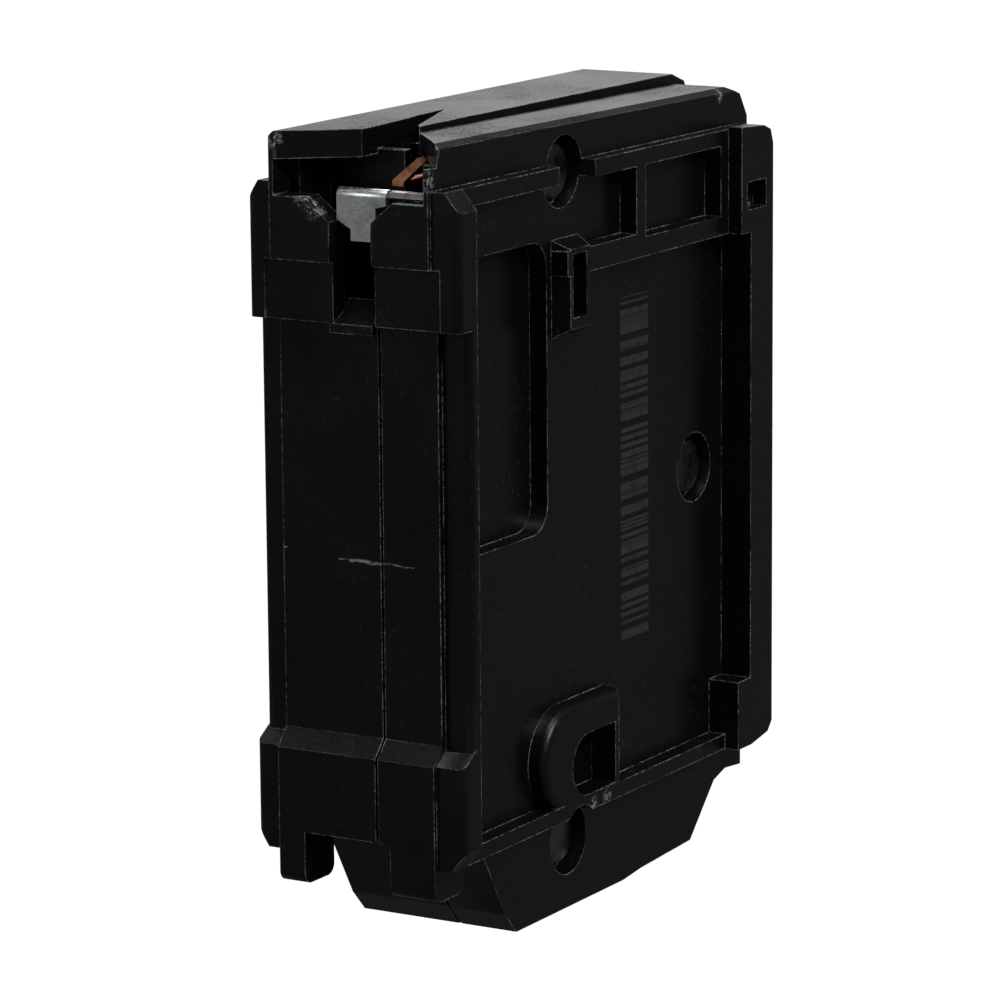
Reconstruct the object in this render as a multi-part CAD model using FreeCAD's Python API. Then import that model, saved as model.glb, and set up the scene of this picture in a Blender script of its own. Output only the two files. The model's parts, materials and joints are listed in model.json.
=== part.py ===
import FreeCAD, Part
import math
import os

# One-inch plug-on circuit breaker, single pole. Millimetres.
# X runs across the breaker, from the cover half (-X) to the base half (+X).
# The handle faces -Y and the panel side is +Y. Z runs up, from the load end to the line end.
# Below, "depth" is measured from the panel side towards the handle, and "height" from the load end.

# Driving dimensions of the case.
overall_width = 25.4          # over both side rims
core_width = 19.05            # the body between the rims
cover_rim_proud = 3.34        # cover rim beyond the core
cover_thickness = 6.96        # cover half of the core, up to the seam
seam_gap = 0.30
case_depth = 69.0             # panel side to the front edge of the rims
case_height = 86.5            # load end foot to the top of the base half
cover_drop = 0.5              # the cover half's top lies this much lower
cover_top_fall = 0.7          # each top is this much lower at the front
base_top_fall = 0.1
wall = 2.3
side_wall_cover = 2.36
side_wall_base = 1.89

# Back profile.
band_setback = 1.7            # the middle stretch lies behind the two bands
line_band_bottom = case_height - 19.5
load_band_top = 21.7
load_band_bottom = 12.8
leg_depth = 5.7
leg_bottom = 7.1
leg_width_base = 3.15
leg_width_cover = 5.4
leg_radius = 1.2

# Sides. Levels are counted outwards from the flat side of the core.
shelf_proud = 1.65            # strips, web, bar and bosses
floor_sunk = 0.4              # floors of the panel and the pockets
well_sunk = 2.5               # floor of the deep well on the cover
hole_sunk = 1.35              # bottoms of the holes in the bosses
rim_bottom = 10.55
rim_top = case_height - 5.2
rim_back = 0.5
rim_back_middle = 2.5
rib_front = 4.0               # the back rib's inner edge, where the recesses start
rib_edge_radius = 0.8
rib_end_slope = 2.1           # height of the sloped ends of the back rib
strip_low_top = 12.25         # upper edge of the strip along the bottom
strip_high_bottom = case_height - 7.2      # lower edge of the strip along the top
bar_bottom = case_height - 17.15
bar_top = case_height - 14.5
bar_top_front = case_height - 15.0
web_back = 40.45
web_front = 42.5
pocket_front = case_depth - 9.3
panel_front = case_depth - 5.3
block_back = case_depth - 7.5             # the full-width front starts here above the bar
shelf_corner_back = case_depth - 8.2      # corner shelf at the lower front of the panel
shelf_corner_top = 18.4
side_slot = (case_depth - 6.2, case_depth - 1.7, case_height - 14.6, case_height - 11.5)
well = (5.0, 24.5, 42.15, case_height - 13.2)    # depth from, to, height from, to
well_corner_radius = 3.0
well_pad = 1.7                # wall added inside, behind the well
top_edge_bevel = 0.55

# Bosses on the cover.
slot_boss_foot = (25.5, 31.2, case_height - 23.9, case_height - 13.4)
slot_boss_face = (26.1, 30.15, case_height - 22.9, case_height - 14.3)
slot_hole = (26.6, 29.5, case_height - 21.7, case_height - 14.9)
d_boss_centre = (25.75, 17.1)
d_boss_radius = 5.8
d_boss_front = 36.2
d_boss_edge = 0.9
d_hole_centre = (29.4, 15.8)
d_hole_radius = 3.4
d_hole_front = 35.4

# Front.
nose_proud = 2.2
nose_low = 20.0
nose_high = case_height - 16.5
window_half = 10.5            # half height of the handle window
window_width = 11.0

# Rivets, in depth and height.
rivet_places = [(27.6, case_height - 6.3), (27.8, 7.6), (case_depth - 11.9, 43.5)]
rivet_radius = 1.5
rivet_head_radius = 2.9
rivet_head_height = 1.1
rivet_recess_radius = 3.9
rivet_post_radius = 2.9
rivet_pad_radius = 5.4        # thickened wall behind each recess
rivet_pad = 1.8
rivet_clearance = 0.05

# Handle. It turns on the posts around the middle rivet.
handle_angle = 15.0           # each way from straight out
handle_shield_radius = 13.4
handle_reach = 20.1
handle_width = 10.4
shaft_clearance = 0.05
arm_pivot_radius = 9.0

# Contact arm.
arm_length = 33.0
arm_height = 4.0
arm_thickness = 2.4
arm_pin_radius = 1.0
spring_post_place = 15.0      # along the arm
spring_radius = 1.35
spring_wire_radius = 0.26
spring_turns = 11
spring_inset = 2.2            # from each anchor to the first turn
contact_place = 30.4          # along the arm
contact_thickness = 1.0
moving_contact_radius = 2.0
fixed_contact_radius = 2.4
closed_gap = 0.10
arm_closed_angle = 137.1      # from the depth direction, towards up
arm_open_angle = 127.0

# Line end.
slot_half = 2.5
slot_face_depth = 3.0
jaw_gap = 1.9
jaw_metal = 0.9
jaw_low = case_height - 17.9
jaw_high = case_height - 11.3
jaw_back = 8.0
jaw_front = 14.0
clip_metal = 0.6
clip_back = 1.2
clip_front = 13.0
clip_bridge = case_height - 10.6
clip_top = case_height - 6.3
clip_curl = 0.8
block_top = case_height - 6.6
block_step = case_height - 13.2
block_step_back = 0.7
lip_bottom = case_height - 2.9
mouth_wall_cover = 0.5        # side walls of the open chamber
mouth_wall_base = 0.5
mouth_wall_depth = 9.0        # the chamber's back wall
mouth_wall_right = -1.2
ramp_front = 4.7
ramp_rise = 2.1

# Trip unit.
bimetal_depth = 13.4
bimetal_metal = 1.0
bimetal_low = 12.0
bimetal_high = 44.0
lever_pivot = (38.0, 40.0)
lever_tip = (20.6, 34.5)
lever_pin_radius = 1.4
spring_anchor = (33.0, 32.6)  # where the toggle spring hooks on the trip lever
armature_pivot = (19.4, 20.5)
armature_pin_radius = 0.8

# Load end.
strap_metal = 1.0
terminal_depth = case_depth - 8.2         # front face of the tapped plate
terminal_metal = 2.2
screw_height = 16.5
screw_radius = 1.9
screw_head_radius = 3.7
screw_access_radius = 4.3
clamp_depth = case_depth - 3.4            # back face of the pressure plate, open
clamp_metal = 1.0
clamp_lip = 0.6
wire_port_back = case_depth - 8.2
wire_port_front = case_depth - 2.6
wire_port_half = 6.4

# Derived places.
cover_face = -overall_width / 2
base_face = overall_width / 2
cover_core = cover_face + cover_rim_proud
base_core = cover_core + core_width
seam = cover_core + cover_thickness
cavity_cover = cover_core + side_wall_cover
cavity_base = base_core - side_wall_base
handle_depth, handle_height = rivet_places[2]
front_inner = case_depth - wall
nose_face = case_depth + nose_proud


def point(x, depth, height):
    return FreeCAD.Vector(x, -depth, height)


def block(x_low, x_high, depth_low, depth_high, low, high):
    corner = FreeCAD.Vector(x_low, -depth_high, low)
    return Part.makeBox(x_high - x_low, depth_high - depth_low, high - low, corner)


def side_plate(outline, x_low, x_high):
    corners = [point(x_low, depth, height) for depth, height in outline]
    face = Part.Face(Part.makePolygon(corners + corners[:1]))
    return face.extrude(FreeCAD.Vector(x_high - x_low, 0, 0))


def floor_plate(outline, low, high):
    corners = [point(x, depth, low) for x, depth in outline]
    face = Part.Face(Part.makePolygon(corners + corners[:1]))
    return face.extrude(FreeCAD.Vector(0, 0, high - low))


def back_plate(outline, depth_low, depth_high):
    corners = [point(x, depth_low, height) for x, height in outline]
    face = Part.Face(Part.makePolygon(corners + corners[:1]))
    return face.extrude(FreeCAD.Vector(0, depth_low - depth_high, 0))


def cross_rod(x_low, x_high, depth, height, radius):
    start = point(x_low, depth, height)
    return Part.makeCylinder(radius, x_high - x_low, start, FreeCAD.Vector(1, 0, 0))


def deep_rod(x, height, depth_low, depth_high, radius):
    start = point(x, depth_low, height)
    return Part.makeCylinder(radius, depth_high - depth_low, start, FreeCAD.Vector(0, -1, 0))


def polar(centre, radius, angle):
    turn = math.radians(angle)
    return (centre[0] + radius * math.cos(turn), centre[1] + radius * math.sin(turn))


def rounded(solid, radius, chosen):
    edges = [edge for edge in solid.Edges if chosen(edge)]
    return solid.makeFillet(radius, edges) if edges else solid


def bevelled(solid, size, chosen):
    return solid.makeChamfer(size, [edge for edge in solid.Edges if chosen(edge)])


def along_x(edge):
    box = edge.BoundBox
    return box.XLength > 0.5 and box.YLength < 0.01 and box.ZLength < 0.01


def along_z(edge):
    box = edge.BoundBox
    return box.ZLength > 0.5 and box.YLength < 0.01 and box.XLength < 0.01


# The case.
def core_outline(top, fall):
    top_front = top - fall
    return [
        (0, line_band_bottom), (0, top), (case_depth - 4.5, top_front), (case_depth - 1.7, top_front - 1.0),
        (case_depth, top_front - 3.6), (case_depth, nose_high), (nose_face, nose_high - 2.0),
        (nose_face, nose_low + 2.0), (case_depth, nose_low), (case_depth, rim_bottom + 1.0),
        (case_depth - 1.4, rim_bottom + 1.0), (case_depth - 1.4, leg_bottom), (case_depth - 5.1, leg_bottom + 0.3),
        (case_depth - 7.8, 6.6), (case_depth - 10.2, 4.2),
        (case_depth - 13.5, 0.9), (43.8, 0.4), (40.0, 0), (16.6, 0), (14.2, 2.5), (8.1, load_band_bottom),
        (0, load_band_bottom), (0, load_band_top), (band_setback, load_band_top + 1.9),
        (band_setback, line_band_bottom),
    ]


def core(x_low, x_high, core_side, top, fall):
    """The body of one half, with its long upper edge bevelled."""
    body = side_plate(core_outline(top, fall), x_low, x_high)

    def long_top_edge(edge):
        box = edge.BoundBox
        outside = abs(box.XMin - core_side) < 0.01 and box.XLength < 0.01
        return outside and box.YLength > 60 and box.ZMin > rim_top
    return bevelled(body, top_edge_bevel, long_top_edge)


def cavity_outline():
    ceiling = case_height - cover_drop - cover_top_fall - wall
    return [
        (band_setback + wall, load_band_bottom + wall), (band_setback + wall, line_band_bottom - wall),
        (17.0, line_band_bottom - wall), (17.0, lip_bottom), (case_depth - 5.5, ceiling - 0.3),
        (front_inner, case_height - 6.5), (front_inner, leg_bottom + wall),
        (case_depth - 9.6, leg_bottom + wall), (case_depth - 14.4, 4.0),
        (39.0, wall + 0.2), (17.8, wall + 0.2), (10.4, load_band_bottom + wall),
    ]


def legs(x_low, x_high):
    leg = block(x_low, x_high, 0, leg_depth, leg_bottom, load_band_bottom + 1.0)
    return rounded(leg, leg_radius, lambda edge: along_x(edge) and edge.BoundBox.ZMax < leg_bottom + 0.1)


def rectangle(depth_low, depth_high, low, high):
    return [(depth_low, low), (depth_high, low), (depth_high, high), (depth_low, high)]


def rim_outline():
    return [
        (rim_back, line_band_bottom), (rim_back, rim_top), (case_depth - 2.2, rim_top - 0.3), (case_depth - 0.6, rim_top - 0.9),
        (case_depth, rim_top - 2.5), (case_depth, rim_bottom + 1.8), (case_depth - 1.0, rim_bottom + 0.7),
        (case_depth - 5.0, rim_bottom), (rim_back, rim_bottom), (rim_back, load_band_top),
        (rim_back_middle, load_band_top + 1.2), (rim_back_middle, line_band_bottom),
    ]


def back_rib(shelf, face):
    """The rib along the panel side, at full width, with sloped ends and a rounded back corner."""
    outline = [
        (rim_back, line_band_bottom), (rim_back, rim_top), (rib_front, rim_top), (rib_front, rim_bottom),
        (rim_back, rim_bottom), (rim_back, load_band_top), (rim_back_middle, load_band_top + 1.2),
        (rim_back_middle, line_band_bottom),
    ]
    rib = side_plate(outline, *sorted((shelf, face)))
    beyond = face + (face - shelf)
    for end, slope in ((rim_top, -rib_end_slope), (rim_bottom, rib_end_slope)):
        wedge = [(shelf, end), (face, end + slope), (beyond, end + slope), (beyond, end - slope),
                 (shelf, end - slope)]
        rib = rib.cut(back_plate(wedge, -1, rib_front + 1))

    def outer_back_edge(edge):
        box = edge.BoundBox
        return along_z(edge) and abs(box.XMin - face) < 0.01 and box.YMin > -rib_front + 0.5
    return rounded(rib, rib_edge_radius, outer_back_edge)


def front_block(shelf, face):
    """The full-width front of one side."""
    outline = [
        (block_back, bar_bottom), (block_back, rim_top), (case_depth - 2.2, rim_top - 0.3), (case_depth - 0.6, rim_top - 0.9),
        (case_depth, rim_top - 2.5), (case_depth, rim_bottom + 1.8), (case_depth - 1.0, rim_bottom + 0.7),
        (case_depth - 5.0, rim_bottom), (shelf_corner_back, rim_bottom), (shelf_corner_back, shelf_corner_top),
        (panel_front, shelf_corner_top), (panel_front, bar_bottom),
    ]
    return side_plate(outline, *sorted((shelf, face)))


def side_recesses(floor, beyond):
    """The panel and the pockets above it, from the floor level outwards."""
    low, high = sorted((floor, beyond))
    panel = [
        (rib_front, strip_low_top), (rib_front, bar_bottom), (panel_front, bar_bottom),
        (panel_front, shelf_corner_top), (shelf_corner_back, shelf_corner_top),
        (shelf_corner_back, strip_low_top),
    ]
    outlines = [
        panel,
        rectangle(rib_front, slot_boss_foot[0], bar_bottom - 1, strip_high_bottom),
        rectangle(rib_front, web_back, bar_top, strip_high_bottom),
        rectangle(web_front, pocket_front, bar_top_front, strip_high_bottom),
    ]
    pockets = [side_plate(outline, low, high) for outline in outlines]
    return pockets[0].multiFuse(pockets[1:])


def cover_well():
    cut = block(cover_core - 1, cover_core + well_sunk, *well)
    return rounded(cut, well_corner_radius, along_x)


def slot_boss():
    """A boss with sloped sides around an upright slot."""
    def ring(x, outline):
        corners = [point(x, depth, height) for depth, height in outline]
        return Part.makePolygon(corners + corners[:1])
    foot = ring(cover_core + floor_sunk, rectangle(*slot_boss_foot))
    face = ring(cover_core - shelf_proud, rectangle(*slot_boss_face))
    return Part.makeLoft([foot, face], True, True)


def d_boss():
    """A boss that is round towards the panel side and square towards the front."""
    shelf = cover_core - shelf_proud
    depth, height = d_boss_centre
    outer = rectangle(depth, d_boss_front, height - d_boss_radius, height + d_boss_radius)
    boss = side_plate(outer, shelf, cover_core + floor_sunk)
    boss = boss.fuse(cross_rod(shelf, cover_core + floor_sunk, depth, height, d_boss_radius)).removeSplitter()

    def face_edge(edge):
        box = edge.BoundBox
        on_face = abs(box.XMin - shelf) < 0.01 and box.XLength < 0.01
        return on_face and box.YMax > -d_boss_front + 1 and box.ZMax > height + 1
    return rounded(boss, d_boss_edge, face_edge)


def boss_holes():
    low, high = cover_core - shelf_proud - 1, cover_core + hole_sunk
    slot = block(low, high, *slot_hole)
    depth, height = d_hole_centre
    square = block(low, high, depth, d_hole_front, height - d_hole_radius, height + d_hole_radius)
    return slot.multiFuse([square, cross_rod(low, high, depth, height, d_hole_radius)])


def rivet_recesses(face, inward, floor):
    low, high = sorted((face - inward, floor))
    holes = [cross_rod(low, high, depth, height, rivet_recess_radius) for depth, height in rivet_places]
    return holes[0].multiFuse(holes[1:])


def line_pocket():
    """The open chamber at the line end, with the stab slot and its funnel."""
    mouth = block(cover_core + mouth_wall_cover, base_core - mouth_wall_base, -1, slot_face_depth,
                  block_top, lip_bottom)
    inner = block(cavity_cover, cavity_base, slot_face_depth, 17.01, line_band_bottom, lip_bottom)
    funnel = back_plate([
        (-slot_half, line_band_bottom - 0.01), (slot_half, line_band_bottom - 0.01),
        (slot_half, block_top - 2.4), (5.6, block_top + 0.01), (-5.1, block_top + 0.01),
        (-slot_half, block_top - 2.2),
    ], -1, slot_face_depth + 0.01)
    step = block(cover_core - 1, base_core + 1, -1, block_step_back, line_band_bottom - 0.01, block_step)
    return mouth.multiFuse([inner, funnel, step, roof_cut()])


def roof_cut():
    """The opening in the top over the chamber. It narrows towards the front."""
    return floor_plate([
        (9.0, -1), (9.0, 0.3), (1.9, 5.7), (2.3, 13.7), (3.0, 18.9), (3.5, 25.2), (-1.7, 10.9), (-9.5, 1.6),
        (-9.5, -1),
    ], lip_bottom - 0.01, case_height + 1)


def chamber_wall():
    """The wall at the back of the open chamber, on the base half."""
    return block(mouth_wall_right, cavity_base + 0.5, mouth_wall_depth, mouth_wall_depth + 1.2,
                 clip_bridge + 1.3, lip_bottom + 0.5)


def slot_ramp():
    """The sloped floor that leads a stab into the jaw."""
    outline = [(block_step_back, line_band_bottom - 1), (block_step_back, line_band_bottom),
               (ramp_front, line_band_bottom + ramp_rise), (ramp_front, line_band_bottom - 1)]
    return side_plate(outline, seam + seam_gap, slot_half + 0.5)


def terminal_cuts():
    """Screw access in the front wall and the wire port in the load end."""
    access = deep_rod(0, screw_height, front_inner - 1, case_depth + 1, screw_access_radius)
    port = block(-wire_port_half, wire_port_half, wire_port_back, wire_port_front,
                 leg_bottom - 1, leg_bottom + wall + 1)
    return access.fuse(port)


def handle_window():
    return block(-window_width / 2, window_width / 2, front_inner - 1, nose_face + 1,
                 handle_height - window_half, handle_height + window_half)


def rivet_posts(x_inner, cavity_side):
    inward = 1 if cavity_side < x_inner else -1
    pad_end = cavity_side + inward * rivet_pad
    wall_start = cavity_side - inward * 0.5
    posts = []
    for depth, height in rivet_places:
        posts.append(cross_rod(*sorted((x_inner, wall_start)), depth, height, rivet_post_radius))
        posts.append(cross_rod(*sorted((wall_start, pad_end)), depth, height, rivet_pad_radius))
    return posts


def case_half(x_inner, core_side, face, cavity_side, leg_width, top, fall):
    """One half of the case, from the seam plane out to its rim."""
    inward = 1 if face < 0 else -1
    x_low, x_high = sorted((x_inner, core_side))
    shelf = core_side - inward * shelf_proud
    leg_low, leg_high = sorted((core_side, core_side + inward * leg_width))
    rim_low, rim_high = sorted((core_side + inward * 0.6, shelf))
    half = core(x_low, x_high, core_side, top, fall)
    half = half.multiFuse([legs(leg_low, leg_high), side_plate(rim_outline(), rim_low, rim_high),
                           back_rib(shelf, face), front_block(shelf, face)])
    half = half.cut(side_recesses(core_side + inward * floor_sunk, face - inward))
    half = half.cut(side_plate(rectangle(*side_slot), *sorted((shelf, face - inward))))
    hollow_low, hollow_high = sorted((x_inner + inward * 20, cavity_side))
    half = half.cut(side_plate(cavity_outline(), hollow_low, hollow_high))
    half = half.cut(line_pocket())
    half = half.cut(terminal_cuts())
    half = half.cut(handle_window())
    half = half.multiFuse(rivet_posts(x_inner, cavity_side))
    half = half.cut(rivet_recesses(face, inward, cavity_side))
    for depth, height in rivet_places:
        half = half.cut(cross_rod(cover_face, base_face, depth, height, rivet_radius + rivet_clearance))
    return half.removeSplitter()


def base_case():
    half = case_half(seam + seam_gap / 2, base_core, base_face, cavity_base, leg_width_base,
                     case_height, base_top_fall)
    return half.multiFuse([slot_ramp(), chamber_wall()]).removeSplitter()


def cover_case():
    half = case_half(seam - seam_gap / 2, cover_core, cover_face, cavity_cover, leg_width_cover,
                     case_height - cover_drop, cover_top_fall)
    depth_low, depth_high, low, high = well
    pad = block(cavity_cover - 0.5, cavity_cover + well_pad, 3.0, depth_high + 1.5, low - 1.5,
                line_band_bottom - 0.5)
    upper_pad = block(cavity_cover - 0.5, cavity_cover + well_pad, slot_face_depth - 1, depth_high + 1.5,
                      line_band_bottom - 1, high + 1.5)
    half = half.multiFuse([pad, upper_pad]).cut(cover_well())
    half = half.multiFuse([slot_boss(), d_boss()]).cut(boss_holes())
    return half.removeSplitter()


def case_rivets():
    rivets = []
    for depth, height in rivet_places:
        shank = cross_rod(cavity_cover, cavity_base, depth, height, rivet_radius)
        for inner, outer in ((cavity_cover - rivet_head_height, cavity_cover),
                             (cavity_base, cavity_base + rivet_head_height)):
            shank = shank.fuse(cross_rod(inner, outer, depth, height, rivet_head_radius))
        rivets.append(shank)
    return Part.makeCompound(rivets)


# The handle, and the moving contact arm that it carries.
def hub_centre():
    return (handle_depth, handle_height)


def handle():
    """Drawn straight out, then turned down to its rest position, off."""
    half = handle_width / 2
    centre = hub_centre()
    hub_half = min(half, cavity_base - rivet_pad - 0.4)
    hub = cross_rod(-hub_half + 0.4, hub_half - 0.4, *centre, 5.0)
    ring = cross_rod(-half, half, *centre, handle_shield_radius)
    ring = ring.cut(cross_rod(-half - 1, half + 1, *centre, handle_shield_radius - 2.0))
    spread = [centre, polar(centre, 40, 53), polar(centre, 40, -53)]
    ring = ring.common(side_plate(spread, -half - 1, half + 1))
    web = side_plate([polar(centre, 3, 150), polar(centre, 12.4, 48), polar(centre, 12.4, -48),
                      polar(centre, 3, 210)], -1.3, 1.3)
    tip = handle_depth + handle_reach
    paddle = side_plate([(handle_depth + 12.6, handle_height + 3.5), (tip - 1.2, handle_height + 2.6),
                         (tip, handle_height + 1.6), (tip, handle_height - 1.6),
                         (tip - 1.2, handle_height - 2.6), (handle_depth + 12.6, handle_height - 3.5)],
                        -half + 0.4, half - 0.4)
    leg_end = handle_depth - arm_pivot_radius
    leg_outline = [(handle_depth, handle_height + 3.4), (leg_end, handle_height + 2.4),
                   (leg_end - 2.2, handle_height), (leg_end, handle_height - 2.4),
                   (handle_depth, handle_height - 3.4)]
    leg = side_plate(leg_outline, -3.4, 3.4)
    fork = side_plate(leg_outline, -arm_thickness / 2 - 0.2, arm_thickness / 2 + 0.2)
    fork = fork.common(block(-3, 3, 0, handle_depth - 5.2, 0, case_height))
    body = hub.multiFuse([ring, web, paddle, leg]).cut(fork)
    body = body.cut(cross_rod(-half - 1, half + 1, *centre, rivet_post_radius + shaft_clearance))
    body = body.cut(cross_rod(-4, 4, leg_end, handle_height, arm_pin_radius + shaft_clearance))
    body.rotate(point(0, *centre), FreeCAD.Vector(-1, 0, 0), -handle_angle)
    return body


def arm_pivot(handle_turn):
    return polar(hub_centre(), arm_pivot_radius, 180 + handle_turn)


def arm_frame(shape, pivot, angle):
    """Places a shape that is drawn with the pivot at depth 0, height 0 and the arm along depth."""
    shape.rotate(FreeCAD.Vector(0, 0, 0), FreeCAD.Vector(-1, 0, 0), angle)
    shape.translate(point(0, *pivot))
    return shape


def open_arm(shape):
    return arm_frame(shape, arm_pivot(-handle_angle), arm_open_angle)


def closed_arm(shape):
    return arm_frame(shape, arm_pivot(handle_angle), arm_closed_angle)


def contact_arm():
    half = arm_height / 2
    outline = [(-1.6, -1.4), (-1.6, 1.4), (4.0, half), (arm_length - 1.0, half), (arm_length, half - 1.0),
               (arm_length, -half + 1.0), (arm_length - 1.0, -half), (4.0, -half)]
    outline = [(along, -across) for along, across in outline]
    blade = side_plate(outline, -arm_thickness / 2, arm_thickness / 2)
    pivot_pin = cross_rod(-3.3, 3.3, 0, 0, arm_pin_radius)
    spring_post = cross_rod(-5.6, 0, spring_post_place, 0, 0.8)
    return open_arm(blade.fuse(pivot_pin).fuse(spring_post))


def contact_button(radius, level_low, level_high):
    """A round contact on the side of the arm that faces the fixed contact."""
    start = FreeCAD.Vector(0, -contact_place, level_low)
    return Part.makeCylinder(radius, level_high - level_low, start, FreeCAD.Vector(0, 0, 1))


def moving_contact():
    return open_arm(contact_button(moving_contact_radius, arm_height / 2, arm_height / 2 + contact_thickness))


def fixed_contact():
    face = arm_height / 2 + contact_thickness + closed_gap
    return closed_arm(contact_button(fixed_contact_radius, face, face + contact_thickness))


def strip(route, metal, x_low, x_high):
    """A bent strip: a line of points in depth and height, thickened evenly to both sides."""
    left, right = [], []
    for index, here in enumerate(route):
        before = route[max(index - 1, 0)]
        after = route[min(index + 1, len(route) - 1)]
        first = math.atan2(here[1] - before[1], here[0] - before[0]) if index > 0 else None
        second = math.atan2(after[1] - here[1], after[0] - here[0]) if index < len(route) - 1 else None
        first = second if first is None else first
        second = first if second is None else second
        middle = (first + second) / 2
        if abs(first - second) > math.pi:
            middle += math.pi
        reach = metal / 2 / math.cos((first - second) / 2)
        left.append((here[0] - abs(reach) * math.sin(middle), here[1] + abs(reach) * math.cos(middle)))
        right.append((here[0] + abs(reach) * math.sin(middle), here[1] - abs(reach) * math.cos(middle)))
    return side_plate(left + right[::-1], x_low, x_high)


# The line end.
def fixed_seat(along):
    """A point on the middle of the strap under the fixed contact, at a distance along the closed arm."""
    level = arm_height / 2 + 2 * contact_thickness + closed_gap + strap_metal / 2
    pivot = arm_pivot(handle_angle)
    turn = math.radians(arm_closed_angle)
    return (pivot[0] + along * math.cos(turn) - level * math.sin(turn),
            pivot[1] + along * math.sin(turn) + level * math.cos(turn))


def line_terminal():
    outer = jaw_gap / 2 + jaw_metal
    fingers = [block(-outer, -jaw_gap / 2, jaw_back, jaw_front, jaw_low, jaw_high),
               block(jaw_gap / 2, outer, jaw_back, jaw_front, jaw_low, jaw_high)]
    web = block(-outer, outer, jaw_back + 1, jaw_front, jaw_low - strap_metal, jaw_low)
    top_seat = fixed_seat(contact_place + 3.0)
    low_seat = fixed_seat(contact_place - 3.2)
    route = [(jaw_front - 2.0, jaw_low - strap_metal / 2), (top_seat[0] - 1.2, jaw_low - strap_metal / 2),
             (top_seat[0] - 1.2, top_seat[1] + 1.4), top_seat, low_seat]
    return strip(route, strap_metal, -outer, outer).multiFuse(fingers + [web])


def jaw_spring():
    """Steel clip over the jaw, with a wide plate that shows in the mouth of the pocket."""
    inner = jaw_gap / 2 + jaw_metal
    outer = inner + clip_metal
    plate = back_plate([
        (-2.4, clip_top - 2.6), (-1.75, clip_top - 3.4), (-1.75, clip_top - 4.6), (0.6, clip_top - 4.6),
        (0.6, clip_top - 3.4), (2.25, clip_top - 2.5),
        (2.25, clip_top), (-3.65, clip_top), (-3.65, clip_top - 0.8), (-2.4, clip_top - 1.1),
    ], clip_back, clip_back + clip_metal)
    curl = cross_rod(-3.65, 2.25, clip_back + clip_curl, clip_top, clip_curl)
    tab = block(-8.2, -3.0, clip_back + 0.6, clip_back + 1.8, clip_top, clip_top + clip_metal)
    neck = block(-1.4, 0.6, clip_back, clip_front, clip_bridge, clip_bridge + clip_metal)
    bridge = block(-outer, outer, clip_front - 4.5, clip_front, clip_bridge, clip_bridge + clip_metal)
    sides = [block(x, x + clip_metal, clip_front - 4.5, clip_front, jaw_low + 0.9, clip_bridge + clip_metal)
             for x in (-outer, inner)]
    return plate.multiFuse([curl, tab, neck, bridge] + sides).removeSplitter()


def arc_runner():
    """Copper strip from the clip up and forward under the top, towards the arc plates."""
    low, high = lip_bottom - 2.8, lip_bottom - 2.2
    lean = back_plate([(-1.6, high), (-2.5, low), (-5.3, low + 2.5), (-4.7, low + 3.1)], 5.8, 6.9)
    run = block(-3.0, -1.6, 5.8, 16.0, low, high)
    return lean.fuse(run)


# The arc chamber.
plate_pitch = 2.6
plate_metal = 1.1
plate_half_notch = 2.4
plate_left = cavity_cover + 1.4
plate_right = cavity_base - 1.4
plate_depths = [handle_depth - 19.7 + plate_pitch * index for index in range(6)]
board_gap = 0.2
plate_low = case_height - 14.5
plate_high = case_height - 4.1


def arc_plates():
    plates = []
    for depth in plate_depths:
        plate = block(plate_left, plate_right, depth, depth + plate_metal, plate_low, plate_high)
        notch = block(-plate_half_notch, plate_half_notch, depth - 1, depth + plate_metal + 1,
                      plate_low - 1, plate_low + 4.5)
        plates.append(plate.cut(notch))
    return Part.makeCompound(plates)


def chute_side(x_low, x_high):
    return block(x_low, x_high, plate_depths[0] - 1.5, plate_depths[-1] + plate_pitch,
                 plate_low - 0.5, plate_high + 0.2)


def chute_board_cover():
    return chute_side(cavity_cover + board_gap, plate_left)


def chute_board_base():
    return chute_side(plate_right, cavity_base - board_gap)


def arc_barrier():
    depth = plate_depths[-1] + 4.2
    return block(cavity_cover, cavity_base, depth, depth + 0.8, plate_low - 8.0, plate_high)


# The trip unit.
def trip_lever():
    pivot, tip = lever_pivot, lever_tip
    outline = [
        (pivot[0] + 2.6, pivot[1] + 1.4), (pivot[0] - 1.0, pivot[1] + 2.9), (tip[0] + 3.0, tip[1] + 1.6),
        (tip[0], tip[1] + 0.9), (tip[0], tip[1] - 0.6), (tip[0] + 3.5, tip[1] - 1.4),
        (pivot[0] - 5.6, pivot[1] - 8.8), (pivot[0] - 3.0, pivot[1] - 8.8), (pivot[0] + 2.4, pivot[1] - 2.2),
    ]
    plate = side_plate(outline, 3.9, 5.3)
    hub = cross_rod(3.4, 5.8, *pivot, 2.6)
    hook = cross_rod(-5.6, 4.5, *spring_anchor, 0.9)
    catch = block(-2.5, 5.3, tip[0], tip[0] + 1.4, tip[1] - 0.6, tip[1] + 0.9)
    lever = plate.multiFuse([hub, hook, catch])
    return lever.cut(cross_rod(3, 6, *pivot, lever_pin_radius + shaft_clearance))


def trip_lever_pin():
    return cross_rod(cavity_cover, cavity_base, *lever_pivot, lever_pin_radius)


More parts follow.
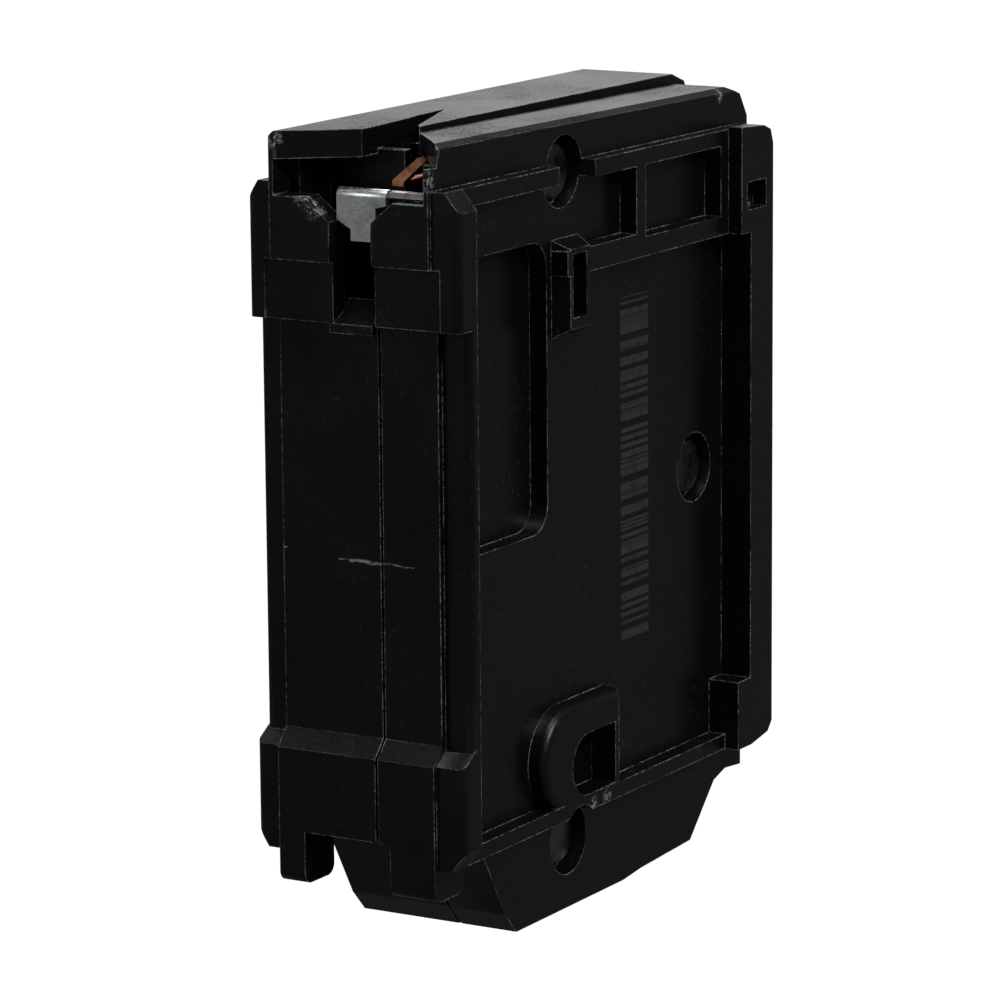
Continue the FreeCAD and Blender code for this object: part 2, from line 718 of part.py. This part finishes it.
def toggle_spring():
    """Coiled wire between the arm and the trip lever."""
    pivot = arm_pivot(-handle_angle)
    top = polar(pivot, spring_post_place, arm_open_angle)
    low = spring_anchor
    length = math.dist(top, low)
    pitch = (length - 2 * spring_inset) / spring_turns
    helix = Part.makeHelix(pitch, pitch * spring_turns, spring_radius)
    start = FreeCAD.Vector(spring_radius, 0, 0)
    section = Part.Wire([Part.makeCircle(spring_wire_radius, start, FreeCAD.Vector(0, 1, 0))])
    coil = Part.Wire(helix.Edges).makePipeShell([section], True, True)
    coil.translate(FreeCAD.Vector(0, 0, spring_inset))
    lean = math.degrees(math.atan2(top[0] - low[0], top[1] - low[1]))
    coil.rotate(FreeCAD.Vector(0, 0, 0), FreeCAD.Vector(1, 0, 0), lean)
    coil.translate(point(-4.6, *low))
    return coil


def bimetal():
    return block(-2.8, 2.8, bimetal_depth, bimetal_depth + bimetal_metal, bimetal_low, bimetal_high)


def magnet_yoke():
    back = block(-4.9, 4.9, bimetal_depth - 1.4, bimetal_depth, 24.0, 34.0)
    side = block(3.7, 4.9, bimetal_depth, 17.6, 24.0, 34.0)
    other = block(-4.9, -3.7, bimetal_depth, 17.6, 24.0, 34.0)
    return back.fuse(side).fuse(other)


def armature():
    depth = armature_pivot[0]
    plate = block(-4.9, 4.9, depth - 0.6, depth + 0.6, armature_pivot[1], 38.0)
    eye = cross_rod(-4.9, 4.9, *armature_pivot, 1.6)
    window = block(-3.2, 3.2, depth - 1, depth + 1, 30.0, 33.4)
    bore = cross_rod(-5, 5, *armature_pivot, armature_pin_radius + shaft_clearance)
    return plate.fuse(eye).cut(window).cut(bore)


def armature_pin():
    return cross_rod(cavity_cover, cavity_base, *armature_pivot, armature_pin_radius)


# The load end.
strap_height = bimetal_low - strap_metal / 2


def load_strap():
    upright = terminal_depth - terminal_metal - strap_metal / 2
    route = [(bimetal_depth, strap_height), (upright, strap_height), (upright, screw_height + 5.0)]
    screw_hole = deep_rod(0, screw_height, upright - 2, upright + 2, screw_radius + 0.4)
    return strip(route, strap_metal, -3.4, 3.4).cut(screw_hole)


def load_terminal():
    low, high = leg_bottom + wall + 0.3, screw_height + 6.5
    back = terminal_depth - terminal_metal
    plate = block(-5.6, 5.6, back, terminal_depth, low, high)
    return plate.cut(deep_rod(0, screw_height, back - 1, terminal_depth + 1, screw_radius + shaft_clearance))


def pressure_plate():
    low, high = screw_height - 4.6, screw_height + 5.0
    front = clamp_depth + clamp_metal
    plate = block(-5.6, 5.6, clamp_depth, front, low, high)
    low_lip = block(-5.6, 5.6, clamp_depth - clamp_lip, front, low, low + 0.7)
    high_lip = block(-5.6, 5.6, clamp_depth - clamp_lip, front, high - 0.7, high)
    hole = deep_rod(0, screw_height, clamp_depth - 1, front + 1, screw_radius + shaft_clearance)
    return plate.fuse(low_lip).fuse(high_lip).cut(hole)


def terminal_screw():
    seat = clamp_depth + clamp_metal
    head_top = seat + 2.2
    head = deep_rod(0, screw_height, seat, head_top, screw_head_radius)
    shank = deep_rod(0, screw_height, terminal_depth - terminal_metal - 0.6, seat + 0.1, screw_radius)
    slot = block(-screw_head_radius, screw_head_radius, head_top - 1.2, head_top + 1,
                 screw_height - 0.55, screw_height + 0.55)
    cross = block(-0.55, 0.55, head_top - 1.2, head_top + 1, screw_height - 2.4, screw_height + 2.4)
    return head.fuse(shank).cut(slot).cut(cross)


def calibration_screw():
    height = bimetal_low + 6.0
    shank = deep_rod(0, height, band_setback + wall, bimetal_depth, 1.2)
    head = deep_rod(0, height, band_setback + wall, band_setback + wall + 1.4, 2.2)
    return shank.fuse(head)


# The braid between the bimetal and the contact arm.
braid_radius = 0.9
braid_route = [(15.4, 41.6), (20.9, 43.2), (26.6, 45.9), (31.8, 46.2), (37.0, 47.2), (41.9, 50.9)]


def braid():
    points = [point(0, *place) for place in braid_route]
    edges = []
    last = points[0]
    for before, corner, after in zip(points, points[1:], points[2:]):
        into, out = (corner - before), (after - corner)
        shorter = min(into.Length, out.Length)
        into.normalize()
        out.normalize()
        half_turn = math.acos(max(-1.0, min(1.0, into.dot(out)))) / 2
        reach = 0.45 * shorter
        print("braid radius", round(reach / math.tan(half_turn), 1))
        start, end = corner - into * reach, corner + out * reach
        bow = out - into
        bow.normalize()
        radius = reach / math.tan(half_turn)
        middle = corner + bow * (radius / math.cos(half_turn) - radius)
        edges.append(Part.LineSegment(last, start).toShape())
        edges.append(Part.Arc(start, middle, end).toShape())
        last = end
    edges.append(Part.LineSegment(last, points[-1]).toShape())
    path = Part.Wire(edges)
    first = points[1] - points[0]
    section = Part.Wire([Part.makeCircle(braid_radius, points[0], first)])
    cord = path.makePipeShell([section], True, True)
    print("braid length", round(path.Length, 1), "volume", round(cord.Volume, 2),
          "expected", round(path.Length * math.pi * braid_radius ** 2, 2))
    return cord


parts = {
    "base_case": base_case,
    "cover_case": cover_case,
    "case_rivets": case_rivets,
    "handle": handle,
    "contact_arm": contact_arm,
    "moving_contact": moving_contact,
    "fixed_contact": fixed_contact,
    "line_terminal": line_terminal,
    "jaw_spring": jaw_spring,
    "arc_runner": arc_runner,
    "arc_plates": arc_plates,
    "chute_board_cover": chute_board_cover,
    "chute_board_base": chute_board_base,
    "arc_barrier": arc_barrier,
    "trip_lever": trip_lever,
    "trip_lever_pin": trip_lever_pin,
    "toggle_spring": toggle_spring,
    "bimetal": bimetal,
    "magnet_yoke": magnet_yoke,
    "armature": armature,
    "armature_pin": armature_pin,
    "braid": braid,
    "load_strap": load_strap,
    "load_terminal": load_terminal,
    "pressure_plate": pressure_plate,
    "terminal_screw": terminal_screw,
    "calibration_screw": calibration_screw,
}

os.makedirs("parts", exist_ok=True)
shapes = {name: make() for name, make in parts.items()}
reach = max(-shape.BoundBox.YMin for shape in shapes.values())
print("overall depth", round(reach, 3))
for name, shape in shapes.items():
    shape.translate(FreeCAD.Vector(0, reach / 2, 0))
    print(name, len(shape.Solids), "solids", round(shape.Volume, 1), "valid", shape.isValid())
    shape.exportStep(os.path.join("parts", name + ".step"))
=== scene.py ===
import bpy
import bmesh
import json
import math
from mathutils import Matrix, Vector


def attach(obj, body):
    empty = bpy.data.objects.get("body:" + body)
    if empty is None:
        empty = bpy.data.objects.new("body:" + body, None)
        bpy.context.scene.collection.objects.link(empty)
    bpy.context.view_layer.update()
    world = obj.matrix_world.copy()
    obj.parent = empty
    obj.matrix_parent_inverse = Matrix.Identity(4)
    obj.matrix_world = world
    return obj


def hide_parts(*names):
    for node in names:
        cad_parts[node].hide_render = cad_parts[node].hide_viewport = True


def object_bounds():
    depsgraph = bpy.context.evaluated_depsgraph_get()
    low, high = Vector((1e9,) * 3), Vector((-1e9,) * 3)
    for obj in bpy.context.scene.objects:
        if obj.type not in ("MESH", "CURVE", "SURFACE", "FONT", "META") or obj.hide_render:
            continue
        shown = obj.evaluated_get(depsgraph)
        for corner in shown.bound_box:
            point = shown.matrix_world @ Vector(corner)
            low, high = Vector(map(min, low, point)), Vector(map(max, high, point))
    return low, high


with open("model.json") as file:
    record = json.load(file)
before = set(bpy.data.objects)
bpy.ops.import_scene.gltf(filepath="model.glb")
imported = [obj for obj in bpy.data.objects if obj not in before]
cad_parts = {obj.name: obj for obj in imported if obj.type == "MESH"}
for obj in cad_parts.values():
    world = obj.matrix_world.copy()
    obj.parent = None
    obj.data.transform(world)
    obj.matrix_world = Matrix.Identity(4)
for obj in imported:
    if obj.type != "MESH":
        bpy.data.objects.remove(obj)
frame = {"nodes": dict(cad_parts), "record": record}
cadLow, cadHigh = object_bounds()
middle = (cadLow + cadHigh) / 2
mm = 0.001
print("frame loaded", len(frame["nodes"]), "nodes")


# Camera

camera = {
    "lens": 180.45,
    "sensor": 36,
    "clip": (0.02, 20),
    "azimuth": 210.547,
    "elevation": 11.274,
    "roll": -0.46,
    "distance": 548.37 * mm,
    "aim": Vector((3.74, 2.41, -1.01)) * mm,  # from the middle of the breaker
}


# From the breaker out to the camera or a lamp, with azimuth 0 in front of it
def outward(azimuth, elevation):
    turn, lift = math.radians(azimuth), math.radians(elevation)
    return Vector((math.sin(turn) * math.cos(lift), -math.cos(turn) * math.cos(lift), math.sin(lift)))


def makeCamera():
    data = bpy.data.cameras.new("camera")
    data.lens = camera["lens"]
    data.sensor_width = camera["sensor"]
    data.clip_start, data.clip_end = camera["clip"]
    back = outward(camera["azimuth"], camera["elevation"])
    place = middle + camera["aim"] + back * camera["distance"]
    facing = (-back).to_track_quat("-Z", "Y").to_matrix().to_4x4()
    roll = Matrix.Rotation(math.radians(camera["roll"]), 4, "Z")
    holder = bpy.data.objects.new("camera", data)
    holder.matrix_world = Matrix.Translation(place) @ facing @ roll
    bpy.context.scene.collection.objects.link(holder)
    bpy.context.scene.camera = holder


# Studio

studio = {
    "paper": (1.0, 1.0, 1.0, 1),
    "floorSize": 8.0,
    "backdrop": 1.05,
    "surround": 0.10,
    "lights": [
        # name, azimuth, elevation, distance, size, power
        ("key", 262, 42, 0.9, 0.40, 5.0),
        ("fill", 150, 20, 1.1, 0.45, 1.2),
        ("top", 200, 80, 0.9, 0.50, 4.0),
        ("front", 20, 35, 1.0, 0.50, 4.0),
        ("side", 85, 30, 1.0, 0.50, 3.0),
    ],
}


# White in view, and dim as a light on the breaker
def paleGlow(tree, outputKind, lightKind):
    nodes, links = tree.nodes, tree.links
    nodes.clear()
    out = nodes.new(outputKind)
    path = nodes.new("ShaderNodeLightPath")
    mix = nodes.new("ShaderNodeMixShader")
    links.new(path.outputs["Is Camera Ray"], mix.inputs[0])
    for slot, strength in ((1, studio["surround"]), (2, studio["backdrop"])):
        light = nodes.new(lightKind)
        light.inputs["Color"].default_value = studio["paper"]
        light.inputs["Strength"].default_value = strength
        links.new(light.outputs[0], mix.inputs[slot])
    links.new(mix.outputs[0], out.inputs[0])


def makeStudio():
    mesh = bpy.data.meshes.new("floor")
    bm = bmesh.new()
    bmesh.ops.create_grid(bm, x_segments=1, y_segments=1, size=studio["floorSize"] / 2)
    bmesh.ops.translate(bm, verts=bm.verts, vec=(0, 0, cadLow.z))
    bm.to_mesh(mesh)
    bm.free()
    floor = bpy.data.objects.new("floor", mesh)
    bpy.context.scene.collection.objects.link(floor)
    finish = bpy.data.materials.new("floorPaper")
    finish.use_nodes = True
    paleGlow(finish.node_tree, "ShaderNodeOutputMaterial", "ShaderNodeEmission")
    mesh.materials.append(finish)

    world = bpy.data.worlds.new("studio")
    bpy.context.scene.world = world
    world.use_nodes = True
    paleGlow(world.node_tree, "ShaderNodeOutputWorld", "ShaderNodeBackground")

    for name, azimuth, elevation, distance, wide, power in studio["lights"]:
        light = bpy.data.lights.new(name, "AREA")
        light.size = wide
        light.energy = power
        back = outward(azimuth, elevation)
        lamp = bpy.data.objects.new(name, light)
        lamp.matrix_world = (Matrix.Translation(middle + back * distance)
                             @ (-back).to_track_quat("-Z", "Y").to_matrix().to_4x4())
        bpy.context.scene.collection.objects.link(lamp)
    bpy.context.scene.view_settings.view_transform = "Standard"


# Materials

def newMaterial(name):
    material = bpy.data.materials.new(name)
    material.use_nodes = True
    nodes, links = material.node_tree.nodes, material.node_tree.links
    shader = nodes["Principled BSDF"]
    place = nodes.new("ShaderNodeTexCoord").outputs["Object"]
    return material, nodes, links, shader, place


# Scales are in cycles per metre
def addNoise(nodes, links, place, scale, detail=3.0, roughness=0.55, stretch=None):
    if stretch:
        mapping = nodes.new("ShaderNodeMapping")
        mapping.inputs["Scale"].default_value = stretch
        links.new(place, mapping.inputs["Vector"])
        place = mapping.outputs["Vector"]
    noise = nodes.new("ShaderNodeTexNoise")
    noise.inputs["Scale"].default_value = scale
    noise.inputs["Detail"].default_value = detail
    noise.inputs["Roughness"].default_value = roughness
    links.new(place, noise.inputs["Vector"])
    return noise.outputs["Fac"]


def addRange(nodes, links, value, low, high, newLow=0.0, newHigh=1.0):
    ramp = nodes.new("ShaderNodeMapRange")
    ramp.inputs["From Min"].default_value = low
    ramp.inputs["From Max"].default_value = high
    ramp.inputs["To Min"].default_value = newLow
    ramp.inputs["To Max"].default_value = newHigh
    links.new(value, ramp.inputs["Value"])
    return ramp.outputs["Result"]


def addMath(nodes, links, operation, first, second):
    node = nodes.new("ShaderNodeMath")
    node.operation = operation
    for socket, value in zip(node.inputs, (first, second)):
        if isinstance(value, (int, float)):
            socket.default_value = value
        else:
            links.new(value, socket)
    return node.outputs[0]


def addMix(nodes, links, factor, first, second):
    mix = nodes.new("ShaderNodeMix")
    mix.data_type = "RGBA"
    links.new(factor, mix.inputs["Factor"])
    for socket, value in ((mix.inputs["A"], first), (mix.inputs["B"], second)):
        if isinstance(value, tuple):
            socket.default_value = value
        else:
            links.new(value, socket)
    return mix.outputs["Result"]


def addBump(nodes, links, height, strength, depth):
    bump = nodes.new("ShaderNodeBump")
    bump.inputs["Strength"].default_value = strength
    bump.inputs["Distance"].default_value = depth
    links.new(height, bump.inputs["Height"])
    return bump.outputs["Normal"]


# 1 on edges, 0 on flats: how far the rounded normal leaves the face's own
def edgeMask(nodes, links, reach, samples):
    bevel = nodes.new("ShaderNodeBevel")
    bevel.samples = samples
    bevel.inputs["Radius"].default_value = reach
    geometry = nodes.new("ShaderNodeNewGeometry")
    dot = nodes.new("ShaderNodeVectorMath")
    dot.operation = "DOT_PRODUCT"
    links.new(bevel.outputs["Normal"], dot.inputs[0])
    links.new(geometry.outputs["Normal"], dot.inputs[1])
    return addMath(nodes, links, "SUBTRACT", 1.0, dot.outputs["Value"])


thermoset = {
    "black": (0.0030, 0.0030, 0.0032, 1),
    "dust": (0.030, 0.030, 0.031, 1),
    # pale colour for worn edges and scratches, also painted as highlights at some pale spots
    "worn": (0.50, 0.50, 0.51, 1),
    "specular": 0.30,
    "roughness": (0.24, 0.38),
    "edgeReach": 0.20 * mm,
    "edgeSamples": 6,
    "edgeRange": (0.03, 0.16),
    "breakRange": (0.38, 0.56, 0.05, 1.0),
    "speckRange": (0.62, 0.78, 0, 0.7),
    "cloudRange": (0.42, 0.62),
    "scuffAndHighlightRange": (0.47, 0.60, 0.0, 0.75),
    "wearAndHighlightStrength": 0.8,
    "wearRoughness": 0.35,
    "bump": (0.18, 0.02 * mm),
    "noises": {
        # cycles per metre, detail, roughness
        "cloud": (90, 4, 0.55),
        "grain": (2600, 4, 0.65),
        "speck": (1500, 2, 0.5),
        "patches": (260, 5, 0.6),
        "nicks": (1900, 3, 0.7),
    },
}


# 1 inside a box in the object's own place, 0 outside, with soft sides
def addBox(nodes, links, axes, low, high, soft):
    mask = None
    for axis, start, end in zip(axes, low, high):
        rise = addRange(nodes, links, axis, start - soft, start + soft)
        fall = addRange(nodes, links, axis, end - soft, end + soft, 1.0, 0.0)
        side = addMath(nodes, links, "MULTIPLY", rise, fall)
        mask = side if mask is None else addMath(nodes, links, "MULTIPLY", mask, side)
    return mask


# Pale spots: rubbed wear on the near end, painted highlights on the side's notch ledge and far top corner,
# and two pale spots low on the side shelf: x, depth, height, reach, in millimetres
scuffsAndHighlights = [
    (-9.2, 1.0, 85.2, 1.6),
    (-9.0, 0.3, 82.4, 1.3),
    (4.3, 0.4, 79.0, 1.6),
    (5.8, 0.3, 80.0, 1.3),
    (9.3, 0.3, 85.6, 1.2),
    (-11.0, 30.5, 10.9, 1.2),
    (-11.0, 33.5, 11.1, 1.2),
    # painted highlight on the lit ledge of the side notch
    (-11.0, 66.0, 72.0, 0.9),
    # painted highlight on the far top corner
    (-9.3, 62.5, 84.6, 1.0),
]


# Mask of the pale spots, rubbed wear and painted highlights, broken up by noise
def scuffAndHighlightMask(nodes, links, place, nicks):
    mask = None
    for x, depth, height, reach in scuffsAndHighlights:
        gap = nodes.new("ShaderNodeVectorMath")
        gap.operation = "DISTANCE"
        links.new(place, gap.inputs[0])
        gap.inputs[1].default_value = (x * mm, cadHigh.y - depth * mm, height * mm)
        near = addRange(nodes, links, gap.outputs["Value"], reach * 0.35 * mm, reach * mm, 1.0, 0.0)
        mask = near if mask is None else addMath(nodes, links, "MAXIMUM", mask, near)
    return addMath(nodes, links, "MULTIPLY", mask, addRange(nodes, links, nicks, *thermoset["scuffAndHighlightRange"]))


def mouldedCase(name, tone=thermoset, marks=()):
    material, nodes, links, shader, place = newMaterial(name)
    cloud, grain, speck, patches, nicks = [
        addNoise(nodes, links, place, *tone["noises"][kind])
        for kind in ("cloud", "grain", "speck", "patches", "nicks")
    ]
    dustMask = addRange(nodes, links, speck, *tone["speckRange"])
    dustMask = addMath(nodes, links, "MULTIPLY", dustMask, addRange(nodes, links, cloud, *tone["cloudRange"]))
    edge = edgeMask(nodes, links, tone["edgeReach"], tone["edgeSamples"])
    edge = addRange(nodes, links, edge, *tone["edgeRange"])
    breaks = addMath(nodes, links, "MULTIPLY", addRange(nodes, links, patches, *tone["breakRange"]),
                     addRange(nodes, links, nicks, *tone["breakRange"]))
    wearAndHighlightMask = addMath(nodes, links, "MULTIPLY", edge, breaks)
    # edge wear joined with the pale spots, which hold painted highlights too
    wearAndHighlightMask = addMath(nodes, links, "MAXIMUM", wearAndHighlightMask, scuffAndHighlightMask(nodes, links, place, nicks))
    colour = addMix(nodes, links, dustMask, tone["black"], tone["dust"])
    for mark in marks:
        colour = mark(nodes, links, place, colour)
    paleness = addMath(nodes, links, "MULTIPLY", wearAndHighlightMask, tone["wearAndHighlightStrength"])
    # whiten by the mask: wear, and painted highlights at the pale spots
    colour = addMix(nodes, links, paleness, colour, tone["worn"])
    links.new(colour, shader.inputs["Base Color"])
    low, high = tone["roughness"]
    rough = addRange(nodes, links, cloud, 0.3, 0.7, low, high)
    rough = addMath(nodes, links, "ADD", rough, addRange(nodes, links, grain, 0.3, 0.7, -0.05, 0.07))
    rubbed = addMath(nodes, links, "MULTIPLY", wearAndHighlightMask, tone["wearRoughness"])
    rough = addMath(nodes, links, "ADD", rough, rubbed)
    links.new(rough, shader.inputs["Roughness"])
    shader.inputs["Specular IOR Level"].default_value = tone["specular"]
    height = addMath(nodes, links, "ADD", grain, addMath(nodes, links, "MULTIPLY", patches, 0.8))
    links.new(addBump(nodes, links, height, *tone["bump"]), shader.inputs["Normal"])
    return material


# A plain field of printed bars with no code in it, on the cover's panel
barField = {
    "depth": (40.4 * mm, 46.6 * mm),
    "height": (26.3 * mm, 64.9 * mm),
    "level": 8.5 * mm,
    "softness": 0.05 * mm,
    "ink": (0.034, 0.034, 0.035, 1),
    "pitch": 1150,
    "inkRange": (0.47, 0.51),
    "wear": (700, 4, 0.6),
    "wearRange": (0.3, 0.5, 0.45, 1.0),
}


def printedBars(nodes, links, place, colour):
    split = nodes.new("ShaderNodeSeparateXYZ")
    links.new(place, split.inputs[0])
    backPlane = cadHigh.y
    near, far = barField["depth"]
    low, high = barField["height"]
    field = addBox(nodes, links, split.outputs, (-1.0, backPlane - far, low),
                   (-barField["level"], backPlane - near, high), barField["softness"])
    flat = nodes.new("ShaderNodeCombineXYZ")
    links.new(split.outputs["Z"], flat.inputs["Z"])
    bars = nodes.new("ShaderNodeTexNoise")
    bars.inputs["Scale"].default_value = barField["pitch"]
    bars.inputs["Detail"].default_value = 1.0
    links.new(flat.outputs[0], bars.inputs["Vector"])
    bars = addRange(nodes, links, bars.outputs["Fac"], *barField["inkRange"])
    worn = addNoise(nodes, links, place, *barField["wear"])
    worn = addRange(nodes, links, worn, *barField["wearRange"])
    mask = addMath(nodes, links, "MULTIPLY", addMath(nodes, links, "MULTIPLY", field, bars), worn)
    return addMix(nodes, links, mask, colour, barField["ink"])


# Scratches across the panel side
scratches = [
    # x from, to, height, thickness
    (-6.2, 2.9, 42.3, 0.10),
    (-2.4, 1.6, 42.15, 0.16),
    (9.2, 10.2, 42.7, 0.12),
]


def panelScratches(nodes, links, place, colour):
    split = nodes.new("ShaderNodeSeparateXYZ")
    links.new(place, split.inputs[0])
    wobble = addRange(nodes, links, addNoise(nodes, links, place, 300, 3), 0.3, 0.7, -0.3 * mm, 0.3 * mm)
    height = addMath(nodes, links, "ADD", split.outputs["Z"], wobble)
    axes = [split.outputs["X"], split.outputs["Y"], height]
    for start, end, level, thick in scratches:
        line = addBox(nodes, links, axes, (start * mm, cadHigh.y - 3 * mm, (level - thick / 2) * mm),
                      (end * mm, cadHigh.y + 1 * mm, (level + thick / 2) * mm), 0.06 * mm)
        broken = addRange(nodes, links, addNoise(nodes, links, place, 1500, 3), 0.38, 0.55, 0.1, 0.75)
        line = addMath(nodes, links, "MULTIPLY", line, broken)
        colour = addMix(nodes, links, line, colour, thermoset["worn"])
    return colour


metal = {
    "lines": (1800, 3, 0.6),
    "cloud": (420, 4, 0.6),
    "stainRange": (0.45, 0.7),
    "lineRange": (0.3, 0.7),
    "bump": (0.35, 0.01 * mm),
}


def platedMetal(name, colour, stain, rough, brush=(1, 1, 1)):
    material, nodes, links, shader, place = newMaterial(name)
    lines = addNoise(nodes, links, place, *metal["lines"], brush)
    cloud = addNoise(nodes, links, place, *metal["cloud"])
    tint = addMix(nodes, links, addRange(nodes, links, cloud, *metal["stainRange"]), colour, stain)
    links.new(tint, shader.inputs["Base Color"])
    shader.inputs["Metallic"].default_value = 1.0
    value = addRange(nodes, links, lines, *metal["lineRange"], *rough)
    links.new(value, shader.inputs["Roughness"])
    links.new(addBump(nodes, links, lines, *metal["bump"]), shader.inputs["Normal"])
    return material


fibre = {
    "noise": (900, 5, 0.7, (1, 3, 0.6)),
    "dark": (0.16, 0.055, 0.03, 1),
    "light": (0.34, 0.15, 0.09, 1),
    "roughness": 0.8,
    "bump": (0.5, 0.03 * mm),
}


def pressedFibre(name):
    material, nodes, links, shader, place = newMaterial(name)
    fibres = addNoise(nodes, links, place, *fibre["noise"])
    tint = addMix(nodes, links, fibres, fibre["dark"], fibre["light"])
    links.new(tint, shader.inputs["Base Color"])
    shader.inputs["Roughness"].default_value = fibre["roughness"]
    links.new(addBump(nodes, links, fibres, *fibre["bump"]), shader.inputs["Normal"])
    return material


zinc = (0.82, 0.85, 0.86, 1)
finishes = {
    "case": mouldedCase("caseThermoset", thermoset, (printedBars, panelScratches)),
    "handle": mouldedCase("handleThermoset", dict(thermoset, black=(0.004, 0.004, 0.0045, 1))),
    "rivet_steel": platedMetal("rivetSteel", (0.15, 0.145, 0.135, 1), (0.06, 0.055, 0.05, 1), (0.22, 0.42)),
    "copper": platedMetal("bareCopper", (0.80, 0.36, 0.20, 1), (0.48, 0.20, 0.11, 1), (0.22, 0.4)),
    "silver": platedMetal("silverContact", (0.83, 0.81, 0.77, 1), (0.50, 0.47, 0.43, 1), (0.25, 0.45)),
    "tinned_copper": platedMetal("tinnedCopper", (0.62, 0.60, 0.56, 1), (0.40, 0.36, 0.32, 1), (0.28, 0.45)),
    "zinc_steel": platedMetal("zincSteel", zinc, (0.45, 0.48, 0.50, 1), (0.22, 0.38), (1, 1, 4)),
    "fibre": pressedFibre("pressedFibre"),
    "spring_steel": platedMetal("springSteel", (0.36, 0.35, 0.34, 1), (0.22, 0.21, 0.2, 1), (0.2, 0.35)),
    "bimetal": platedMetal("rolledBimetal", (0.55, 0.52, 0.46, 1), (0.38, 0.33, 0.27, 1), (0.3, 0.45),
                           (4, 4, 0.5)),
    "screw_steel": platedMetal("screwSteel", (0.62, 0.56, 0.38, 1), (0.42, 0.36, 0.22, 1), (0.25, 0.4)),
}


def dressNodes():
    slots = {entry["node"]: entry["material_slot"] for entry in frame["record"]["subparts"]}
    for name, thing in frame["nodes"].items():
        thing.data.materials.clear()
        thing.data.materials.append(finishes[slots[name]])
    return slots


rounded = {
    "segments": 2,
    "fromAngle": math.radians(24),
    "mergeDistance": 0.002 * mm,
    "flatAngle": math.radians(1.0),
    "widths": {
        "base_case": 0.16 * mm,
        "cover_case": 0.16 * mm,
        "handle": 0.12 * mm,
        "jaw_spring": 0.12 * mm,
        "line_terminal": 0.12 * mm,
        "arc_runner": 0.12 * mm,
        "pressure_plate": 0.12 * mm,
        "terminal_screw": 0.12 * mm,
        "case_rivets": 0.12 * mm,
        "load_terminal": 0.12 * mm,
    },
}


# A copy of a node with its edges really rounded
def finishedCopy(node, width, slot):
    source = frame["nodes"][node]
    bm = bmesh.new()
    bm.from_mesh(source.data)
    bmesh.ops.remove_doubles(bm, verts=bm.verts, dist=rounded["mergeDistance"])
    bmesh.ops.dissolve_limit(bm, angle_limit=rounded["flatAngle"], verts=bm.verts, edges=bm.edges)
    mesh = bpy.data.meshes.new(node + "_moulding")
    bm.to_mesh(mesh)
    bm.free()
    piece = bpy.data.objects.new(node + "_moulding", mesh)
    bpy.context.scene.collection.objects.link(piece)
    mesh.materials.append(finishes[slot])
    rounding = piece.modifiers.new("rounding", "BEVEL")
    rounding.width = width
    rounding.segments = rounded["segments"]
    rounding.limit_method = "ANGLE"
    rounding.angle_limit = rounded["fromAngle"]
    rounding.use_clamp_overlap = True
    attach(piece, bodyOf[node])
    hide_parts(node)


makeCamera()
makeStudio()
slots = dressNodes()
bodyOf = {node: body for body, nodes in frame["record"]["behaviour"]["bodies"].items() for node in nodes}
print("studio and materials ready")
for node, width in rounded["widths"].items():
    finishedCopy(node, width, slots[node])
print("edges finished")
